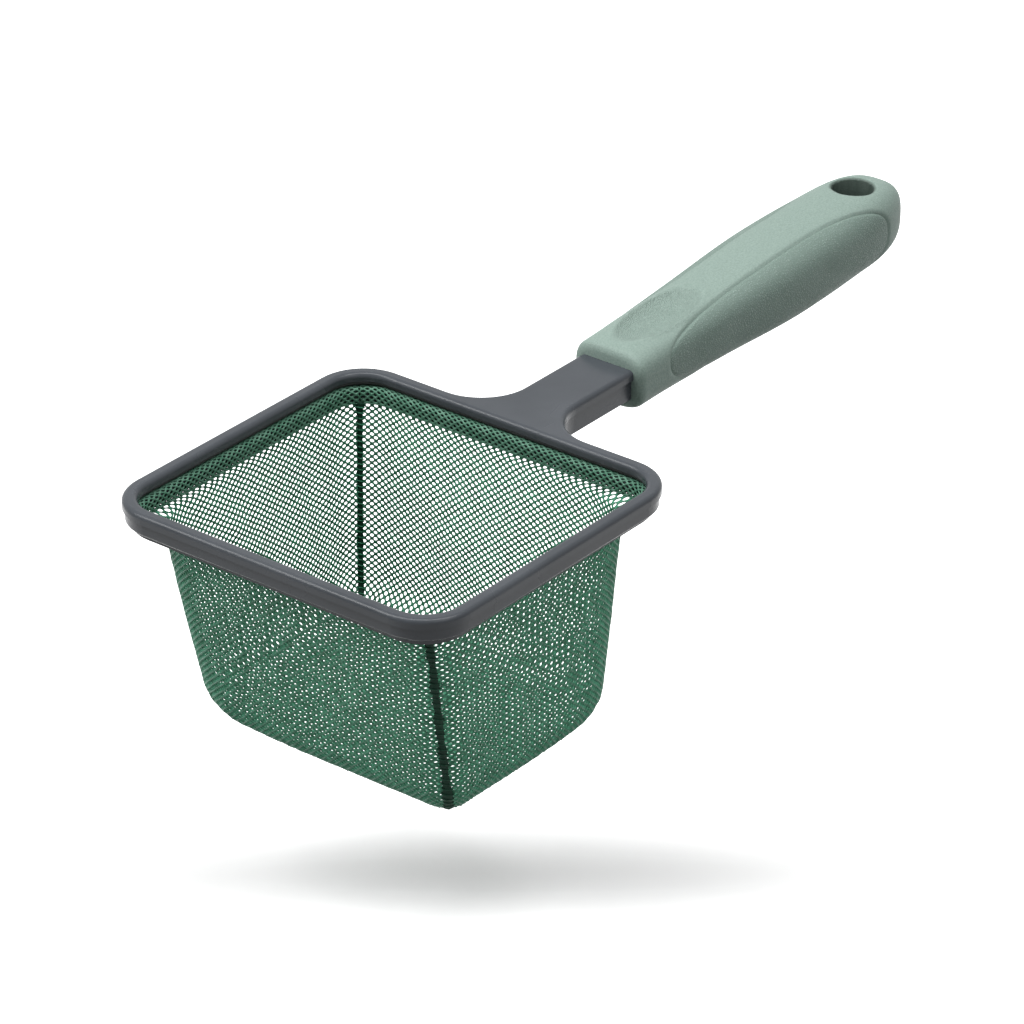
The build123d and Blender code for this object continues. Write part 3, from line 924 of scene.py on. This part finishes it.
GATHER_DEPTH = 0.14
GATHER_FROM, GATHER_OVER = 0.8, 0.15
HEM_HOLD = 0.12
FOOT_FROM, FOOT_OVER, FOOT_HOLD = 0.9, 0.1, 0.75
CORNER_HOLD = 6
SLACK = 0.5
SLACK_ACROSS, SLACK_DOWN = 0.06, 0.05
UNEVEN, UNEVEN_SCALE, UNEVEN_SEED = 0.16, 0.45, 4
FOLD_FADE = 0.35


def rounded_side(side, across, half_x, half_y, start, end):
    """Point and outward direction on one side of a rounded rectangle, from corner middle to corner middle."""
    out_x, out_y = OUTWARD[side]
    half_across, half_out = (half_y, half_x) if out_y == 0 else (half_x, half_y)
    straight = 2 * half_across - start - end
    length = straight + (start + end) * pi / 4
    travel = (across + 1) / 2 * length - start * pi / 4
    if travel < 0:
        turn = travel / start
        along = -half_across + start + start * sin(turn)
        out = half_out - start + start * cos(turn)
    elif travel <= straight:
        turn = 0
        along = -half_across + start + travel
        out = half_out
    else:
        turn = (travel - straight) / end
        along = half_across - end + end * sin(turn)
        out = half_out - end + end * cos(turn)
    across_x, across_y = -out_y, out_x
    place = Vector((along * across_x + out * out_x, along * across_y + out * out_y, 0))
    facing = Vector((sin(turn) * across_x + cos(turn) * out_x, sin(turn) * across_y + cos(turn) * out_y, 0))
    return place, facing, length


def corner_sizes(down):
    """Radius of the seamed and of the soft corners at a depth."""
    seamed = HEM_CORNER + (SEAMED_CORNER - HEM_CORNER) * down
    soft = HEM_CORNER + (SOFT_CORNER - HEM_CORNER) * smoothstep(down / SHOULDER)
    return seamed, soft


def softness(side, across):
    """1 at a side's soft corner, 0 at its seamed one."""
    share = (across + 1) / 2
    return smoothstep(1 - share if STARTS_SOFT[side] else share)


# Each fold runs from one point to another, both across and down, and has a width and a height
FOLDS = {
    "front": (
        (0.3, 0.05, -0.35, 0.75, 4.0, 0.6),
        (0.75, 0.1, 0.1, 0.9, 3.6, 0.5),
        (-0.75, 1.0, -0.45, 0.6, 3.4, 0.5),
    ),
    "right": (
        (0.6, 0.06, 0.1, 0.7, 4.2, 0.5),
        (-0.6, 0.15, -0.1, 0.85, 3.8, 0.5),
        (0.45, 1.0, 0.25, 0.65, 3.0, 0.4),
    ),
    "back": (
        (-0.5, 0.08, 0.0, 0.8, 4.0, 0.5),
        (0.3, 0.1, 0.65, 0.9, 3.6, 0.4),
        (-0.1, 1.0, 0.15, 0.6, 3.0, -0.4),
    ),
    "left": (
        (0.4, 0.05, -0.1, 0.75, 4.0, -0.5),
        (-0.45, 0.1, -0.75, 0.8, 3.6, 0.5),
        (0.55, 1.0, 0.4, 0.55, 3.0, 0.4),
    ),
}


def half_sizes(down):
    """Half length and half width of the bag at a depth."""
    return MOUTH_HALF_X - TAPER_X * down, MOUTH_HALF_Y - TAPER_Y * down


def fold_height(side, across, down, half_across, depth):
    """How far the listed folds push a side out at a point."""
    total = 0
    for across_a, down_a, across_b, down_b, width, height in FOLDS[side]:
        run_x, run_y = (across_b - across_a) * half_across, (down_b - down_a) * depth
        off_x, off_y = (across - across_a) * half_across, (down - down_a) * depth
        run = hypot(run_x, run_y)
        along = (off_x * run_x + off_y * run_y) / run
        aside = (off_x * run_y - off_y * run_x) / run
        fade = smoothstep(along / run / FOLD_FADE) * smoothstep((1 - along / run) / FOLD_FADE)
        total += height * fade * bell(aside / width)
    return total


def bag_point(side, across, down):
    """Place of a point on one side of the bag, and the direction that it faces, in millimetres."""
    seamed, soft = corner_sizes(down)
    start, end = (soft, seamed) if STARTS_SOFT[side] else (seamed, soft)
    place, facing, length = rounded_side(side, across, *half_sizes(down), start, end)
    height = WALL_TOP + (WALL_FOOT - WALL_TOP) * down
    curl = FOOT_ROUND - (FOOT_ROUND**2 - max(FOOT_ROUND - height, 0) ** 2) ** 0.5
    off_corner = 1 - across**CORNER_HOLD
    off_foot = 1 - FOOT_HOLD * smoothstep((down - FOOT_FROM) / FOOT_OVER)
    free = smoothstep(down / HEM_HOLD) * off_foot * off_corner
    push = fold_height(side, across, down, MOUTH_HALF_Y, WALL_TOP) * free
    push += SLACK * free * noise.noise(place * SLACK_ACROSS + Vector((0, 0, height * SLACK_DOWN)))
    gather = smoothstep((down - GATHER_FROM) / GATHER_OVER) * off_corner
    push += GATHER_DEPTH * gather * sin(2 * pi * across * length / 2 / GATHER_WAVE)
    place = place + facing * (push - curl)
    place += Vector((FLOOR_SHIFT[0] * down, FLOOR_SHIFT[1] * down, 0))
    rise = SEAMED_RISE + (SOFT_RISE - SEAMED_RISE) * softness(side, across)
    place.z = height + rise * across**2 * down**3
    return place, facing


def uneven(place):
    """A small shift that makes the knit a little irregular, as hand-set mesh is."""
    return UNEVEN * noise.noise_vector(place * UNEVEN_SCALE)


def in_frame(place):
    """A point of the bag in the frame, in metres."""
    return Vector((HOOP_X + place.x * MM, place.y * MM, place.z * MM))


noise.seed_set(UNEVEN_SEED)
print("mouth", round(2 * MOUTH_HALF_X, 1), "by", round(2 * MOUTH_HALF_Y, 1), "mm, from z", round(WALL_TOP, 1))

# %% [markdown]
# Knitting the mesh
#
# The real mesh is knitted nylon with small diamond openings, 1.96 mm wide and 1.61 mm tall. A picture of a
# net on a flat wall would look wrong at every edge, so each strand is modelled. A grid of squares is poked,
# which adds a middle to each, and the squares' own edges are dissolved, which leaves diamonds. The diamonds
# are laid on the bag's form and the Wireframe modifier turns their edges into strands. Where two sides meet
# at a soft fold, the last edges are deleted, so that the diamonds run on into the next side, and the last
# tips reach a little round the corner, so that they join the tips there.

# %% Mesh of the sides
DIAMOND_WIDTH = 1.96
DIAMOND_HEIGHT = 1.61
STRAND = 0.65
EDGE = 0.5
TIP_REACH = 1.01


def diamond_sheet(name, columns, rows, open_sides=()):
    """Flat sheet of diamonds, one unit wide and tall, with zigzag edges on its open sides."""
    bpy.ops.object.select_all(action="DESELECT")
    bpy.ops.mesh.primitive_grid_add(x_subdivisions=columns, y_subdivisions=rows, size=2 * EDGE)
    sheet = bpy.context.object
    sheet.name = name
    edit_all(sheet, (bpy.ops.mesh.poke, {}))

    def grid_edge(a, b):
        upright, level = abs(a.x - b.x) < CLOSE, abs(a.y - b.y) < CLOSE
        rim = (upright and EDGE - abs(a.x) < CLOSE) or (level and EDGE - abs(a.y) < CLOSE)
        return (upright or level) and not rim

    edit_edges(sheet, grid_edge)
    bpy.ops.mesh.dissolve_edges(use_verts=False)
    bpy.ops.object.mode_set(mode="OBJECT")
    for side in open_sides:
        edit_edges(sheet, lambda a, b: abs(a.x - side * EDGE) < CLOSE and abs(b.x - side * EDGE) < CLOSE)
        bpy.ops.mesh.delete(type="EDGE")
        bpy.ops.object.mode_set(mode="OBJECT")
    return sheet


def knit(sheet, strand, finish):
    """Turn a laid-out sheet of diamonds into round strands."""
    apply_modifier(
        sheet, "WIREFRAME", thickness=strand * MM, offset=0, use_boundary=True, use_even_offset=False
    )
    apply_modifier(sheet, "SUBSURF", levels=1, render_levels=1)
    edit_all(sheet, FACE_OUT)
    bpy.ops.object.shade_smooth()
    sheet.data.materials.append(finish.material)


def net_mesh(name, low, high, shine=0.25):
    """Knitted nylon: green strands with a fine uneven twist."""
    finish = Finish(name)
    grain = finish.group(GRAIN, Grain=4200, Drift=420)
    finish.feed(
        Base_Color=finish.blend(finish.span(grain["Tone"], 0, 1, 0.35, 0.65), low, high),
        Roughness=finish.span(grain["Height"], 0.42, 0.6),
        Normal=finish.bump(grain["Height"], 0.03 * MM),
        Specular_IOR_Level=shine,
    )
    return finish


def side_width(side, down):
    """Width of one side at a depth, between its corners' middles."""
    seamed, soft = corner_sizes(down)
    return rounded_side(side, 0, *half_sizes(down), seamed, soft)[2]


def knit_side(side, finish):
    """One side of the bag."""
    columns = round(side_width(side, 0.5) / DIAMOND_WIDTH)
    rows = round((WALL_TOP - WALL_FOOT) / DIAMOND_HEIGHT)
    soft_side = -1 if STARTS_SOFT[side] else 1
    sheet = diamond_sheet(f"{side}_mesh", columns, rows, open_sides=(soft_side,))
    for vertex in sheet.data.vertices:
        across = vertex.co.x / EDGE
        if across * soft_side > 1 - CLOSE:
            across *= TIP_REACH
        place, _ = bag_point(side, across, 0.5 - vertex.co.y)
        vertex.co = in_frame(place + uneven(place))
    knit(sheet, STRAND, finish)
    declare(sheet, "net_mesh", f"net_{side}_wall")
    return sheet


green_mesh = net_mesh("net_mesh", paint(38, 98, 72), paint(70, 136, 108))
for side in OUTWARD:
    piece = knit_side(side, green_mesh)
    print(piece.name, triangles(piece), "triangles")

# %% [markdown]
# The bag's floor
#
# The floor is a flat piece of the same mesh, cut to a rounded outline and sewn into the sides. Diamonds
# that lie wholly outside the outline are deleted, and the outer ends of the cut ones are pulled in to it.
# The seam stretches the floor a little, so its diamonds are larger, and its rim turns up to meet the sides.

# %% Mesh of the floor
FLOOR_LEVEL = 0.5
FLOOR_STRETCH = 1.04
FLOOR_SLACK, FLOOR_SLACK_SCALE = 0.3, 0.05
RIM_WIDTH = 7.0
FOOT_CURL = FOOT_ROUND - (FOOT_ROUND**2 - (FOOT_ROUND - WALL_FOOT) ** 2) ** 0.5
RIM_HALF = Vector((*(half - FOOT_CURL for half in half_sizes(1)), 0))


def outside_floor(place):
    """Distance of a point outside the floor's outline, and the way out."""
    corner = (SEAMED_CORNER if place.x * place.y > 0 else SOFT_CORNER) - FOOT_CURL
    signs = Vector((1 if place.x > 0 else -1, 1 if place.y > 0 else -1, 0))
    over = Vector((abs(place.x) - RIM_HALF.x + corner, abs(place.y) - RIM_HALF.y + corner, 0))
    if over.x > 0 and over.y > 0:
        way = over.normalized()
        reach = over.length - corner
    elif over.x > over.y:
        way = Vector((1, 0, 0))
        reach = over.x - corner
    else:
        way = Vector((0, 1, 0))
        reach = over.y - corner
    return reach, Vector((way.x * signs.x, way.y * signs.y, 0))


def floor_height(place, reach):
    """Height of the floor, which turns up at its rim and more so towards the corners."""
    shares = sorted((abs(place.x) / RIM_HALF.x, abs(place.y) / RIM_HALF.y))
    corner = shares[0] / max(shares[1], 0.01)
    rim = max(1 + reach / RIM_WIDTH, 0) ** 2
    corner_rise = SEAMED_RISE if place.x * place.y > 0 else SOFT_RISE
    rise = (WALL_FOOT - FLOOR_LEVEL + corner_rise * corner**2) * rim
    return FLOOR_LEVEL + rise + FLOOR_SLACK * (1 - rim) * noise.noise(place * FLOOR_SLACK_SCALE)


def knit_floor(finish):
    """The bag's floor."""
    columns = round(2 * RIM_HALF.x / DIAMOND_WIDTH / FLOOR_STRETCH)
    rows = round(2 * RIM_HALF.y / DIAMOND_HEIGHT / FLOOR_STRETCH)
    sheet = diamond_sheet("floor_mesh", columns, rows)
    spots = [Vector((v.co.x * 2 * RIM_HALF.x, v.co.y * 2 * RIM_HALF.y, 0)) for v in sheet.data.vertices]
    pick(sheet)
    bpy.context.tool_settings.mesh_select_mode = (False, False, True)
    for part in (*sheet.data.vertices, *sheet.data.edges):
        part.select = False
    for face in sheet.data.polygons:
        face.select = all(outside_floor(spots[index])[0] > -CLOSE for index in face.vertices)
    for vertex, spot in zip(sheet.data.vertices, spots):
        reach, way = outside_floor(spot)
        spot = spot - way * max(reach, 0)
        spot.z = floor_height(spot, min(reach, 0))
        spot += Vector((*FLOOR_SHIFT, 0))
        vertex.co = in_frame(spot + uneven(spot))
    bpy.ops.object.mode_set(mode="EDIT")
    bpy.ops.mesh.delete(type="FACE")
    bpy.ops.object.mode_set(mode="OBJECT")
    knit(sheet, STRAND, finish)
    declare(sheet, "net_mesh", "net_floor")
    return sheet


piece = knit_floor(green_mesh)
print(piece.name, triangles(piece), "triangles")

# %% [markdown]
# The hem
#
# The bag's mouth is a doubled strip of the same mesh, stretched round the hoop's inner lip. Its folded edge
# is tucked into a groove, where a cord locks it. The strip is laid out flat like the sides, and its rows
# follow the fold: up in front, into the groove, back out and down behind. What lies behind is in the shade
# of the front and reads almost black, so its strands have a darker finish.

# %% Mesh of the hem
HOOP_HALF_X = 46.5
HOOP_HALF_Y = 50.0
HOOP_CORNER = 13.0
# Inset from the hoop's outside and height, along the fold from its front to its back
HEM_PROFILE = (
    (4.6, 52.4),
    (4.6, 54.0),
    (4.55, 55.6),
    (3.6, 56.3),
    (2.35, 56.15),
    (3.6, 55.95),
    (4.1, 54.2),
    (4.1, 52.5),
)


def hem_profile(share):
    """Inset from the hoop's outside and height, at a share of the way along the folded strip."""
    spot = share * (len(HEM_PROFILE) - 1)
    index = min(int(spot), len(HEM_PROFILE) - 2)
    (inset_a, height_a), (inset_b, height_b) = HEM_PROFILE[index : index + 2]
    part = spot - index
    return inset_a + (inset_b - inset_a) * part, height_a + (height_b - height_a) * part


def hoop_point(side, across, inset):
    """Place on the hoop's outline, moved in by an inset."""
    corner = HOOP_CORNER - inset
    return rounded_side(side, across, HOOP_HALF_X - inset, HOOP_HALF_Y - inset, corner, corner)


def knit_hem(finish, behind):
    """The doubled band round the mouth, one closed loop from the back left corner."""
    order = ("left", "front", "right", "back")
    lengths = [hoop_point(side, 0, HEM_PROFILE[0][0])[2] for side in order]
    columns = round(sum(lengths) / DIAMOND_WIDTH)
    rows = len(HEM_PROFILE) - 1
    sheet = diamond_sheet("hem_mesh", columns, rows, open_sides=(-1, 1))
    ends = [sum(lengths[: index + 1]) / sum(lengths) for index in range(len(order))]
    flat = [vertex.co.y for vertex in sheet.data.vertices]
    for vertex in sheet.data.vertices:
        share = min(max(vertex.co.x + 0.5, 0), 1 - CLOSE / 10)
        index = bisect_right(ends, share)
        begin = ends[index - 1] if index else 0
        across = 2 * (share - begin) / (ends[index] - begin) - 1
        if EDGE - abs(vertex.co.x) < CLOSE:
            across *= TIP_REACH
        inset, height = hem_profile(0.5 - vertex.co.y)
        place = hoop_point(order[index], across, inset)[0]
        place.z = height
        vertex.co = in_frame(place)
    for face in sheet.data.polygons:
        face.material_index = int(sum(flat[index] for index in face.vertices) < 0)
    knit(sheet, STRAND, finish)
    sheet.data.materials.append(behind.material)
    declare(sheet, "hem_mesh", "net_hem")
    return sheet


hem_green = net_mesh("hem_mesh", paint(72, 118, 97), paint(100, 142, 122))
hem_dark = net_mesh("hem_behind", paint(16, 40, 30), paint(26, 54, 42))
piece = knit_hem(hem_green, hem_dark)
print(piece.name, triangles(piece), "triangles")

# %% [markdown]
# The seams
#
# A seam is a tight roll of mesh edges with thread wound over it. Both are made by the Screw modifier: a
# small section turned about the Z axis while it climbs. The roll has a lobed section that twists slowly,
# and the thread is a thin ring beside the axis that turns fast. The straight seam is then bent onto its
# line on the bag.

# %% Stitched seams
ROLL_SIDES, ROLL_PITCH = 8, 5
LOBE = 0.82
THREAD_SIDES = 6
WIND_STEPS = 10
LINE_STEPS = 40
KNOT_SIZE, KNOT_LENGTH = 0.8, 0.035
THIN = 0.9
LUMPS = ((0.12, 31, 0), (0.1, 73, 1))
FOOT_SWELL, FOOT_SHARE = 0.3, 0.3


def screwed(name, sides, radius, aside, turned, length, pitch):
    """A ring, beside the axis or round it, wound up the Z axis and closed at both ends."""
    bpy.ops.object.select_all(action="DESELECT")
    bpy.ops.mesh.primitive_circle_add(
        vertices=sides, radius=radius, location=(aside, 0, 0), rotation=(turned, 0, 0)
    )
    piece = bpy.context.object
    piece.name = name
    bpy.ops.object.transform_apply(location=True, rotation=True, scale=True)
    apply_modifier(
        piece,
        "SCREW",
        angle=2 * pi,
        screw_offset=pitch,
        iterations=round(length / pitch),
        steps=WIND_STEPS,
        render_steps=WIND_STEPS,
    )
    edit_all(piece, (bpy.ops.mesh.fill_holes, {"sides": sides}), FACE_OUT)
    bpy.ops.object.shade_smooth()
    return piece


def line_frame(points, ways, travelled, distance):
    """Point, side and outward direction at a distance along a line of points."""
    index = min(max(bisect_right(travelled, distance) - 1, 0), len(points) - 2)
    part = (distance - travelled[index]) / (travelled[index + 1] - travelled[index])
    place = points[index].lerp(points[index + 1], part)
    ahead = (points[index + 1] - points[index]).normalized()
    out = ways[index].lerp(ways[index + 1], part)
    out = (out - ahead * out.dot(ahead)).normalized()
    return place, ahead.cross(out), out


def bend_onto(piece, points, ways, flatten, swell=None):
    """Bend a straight wound piece onto a line of points."""
    travelled = [0]
    for a, b in zip(points, points[1:]):
        travelled.append(travelled[-1] + (b - a).length)
    heights = [v.co.z for v in piece.data.vertices]
    low, high = min(heights), max(heights)
    for vertex in piece.data.vertices:
        share = (vertex.co.z - low) / (high - low)
        place, side, out = line_frame(points, ways, travelled, share * travelled[-1])
        grow = swell(share) if swell else 1
        vertex.co = in_frame(place + side * vertex.co.x * grow + out * vertex.co.y * flatten * grow)


def stitched(name, line, core, reach, thread, pitch, flatten, inner, outer, swell=None):
    """A seam along a line: a slowly twisted roll with thread wound over it."""
    points, ways = line
    length = sum((b - a).length for a, b in zip(points, points[1:]))
    roll = screwed(name, ROLL_SIDES, core, aside=0, turned=0, length=length, pitch=ROLL_PITCH)
    for index, vertex in enumerate(roll.data.vertices):
        if index % ROLL_SIDES % 2:
            vertex.co.x, vertex.co.y = vertex.co.x * LOBE, vertex.co.y * LOBE
    coat(roll, inner)
    over = screwed(
        f"{name}_thread", THREAD_SIDES, thread, aside=reach, turned=pi / 2, length=length, pitch=pitch
    )
    coat(over, outer)
    for piece in (roll, over):
        bend_onto(piece, points, ways, flatten, swell)
    pick(roll)
    over.select_set(True)
    bpy.ops.object.join()
    declare(roll, "seam_thread", name.replace("stitching", "seam"))
    return roll


def corner_line(side, across):
    """Points and outward directions down one seamed corner, at the edge of a side."""
    made = [bag_point(side, across, index / LINE_STEPS) for index in range(LINE_STEPS + 1)]
    return [place for place, _ in made], [facing for _, facing in made]


def floor_line():
    """Points and outward directions round the foot of all sides, as a closed line."""
    made = []
    for side in OUTWARD:
        made += [bag_point(side, 2 * index / LINE_STEPS - 1, 1) for index in range(LINE_STEPS)]
    made.append(made[0])
    return [place for place, _ in made], [facing for _, facing in made]


def knot(share):
    """The back seam's thread is gathered into a knot just under the hem."""
    return 1 + KNOT_SIZE * bell(share / KNOT_LENGTH)


def lumps(share):
    """The front seam is gathered unevenly, and thickens towards the floor."""
    waves = sum(height * sin(rate * share + start) for height, rate, start in LUMPS)
    return THIN + waves + FOOT_SWELL * smoothstep((share - 1 + FOOT_SHARE) / FOOT_SHARE)


dark_thread = net_mesh("seam_thread", paint(16, 42, 31), paint(28, 58, 45), shine=0.08)
light_thread = net_mesh("seam_overcast", paint(24, 58, 43), paint(42, 80, 63), shine=0.08)
CORNER_THREAD = {"thread": 0.17, "pitch": 1.5, "flatten": 0.55, "inner": dark_thread}
FLOOR_THREAD = {"thread": 0.09, "pitch": 1.3, "flatten": 1.0, "inner": green_mesh, "outer": green_mesh}
FRONT_SEAM = {"core": 1.1, "reach": 1.15, "outer": light_thread, "swell": lumps}
BACK_SEAM = {"core": 0.86, "reach": 0.92, "outer": green_mesh, "swell": knot}
for piece in (
    stitched("front_right_stitching", corner_line("front", 1), **FRONT_SEAM, **CORNER_THREAD),
    stitched("back_left_stitching", corner_line("back", 1), **BACK_SEAM, **CORNER_THREAD),
    stitched("floor_stitching", floor_line(), core=0.2, reach=0.24, **FLOOR_THREAD),
):
    print(piece.name, triangles(piece), "triangles")
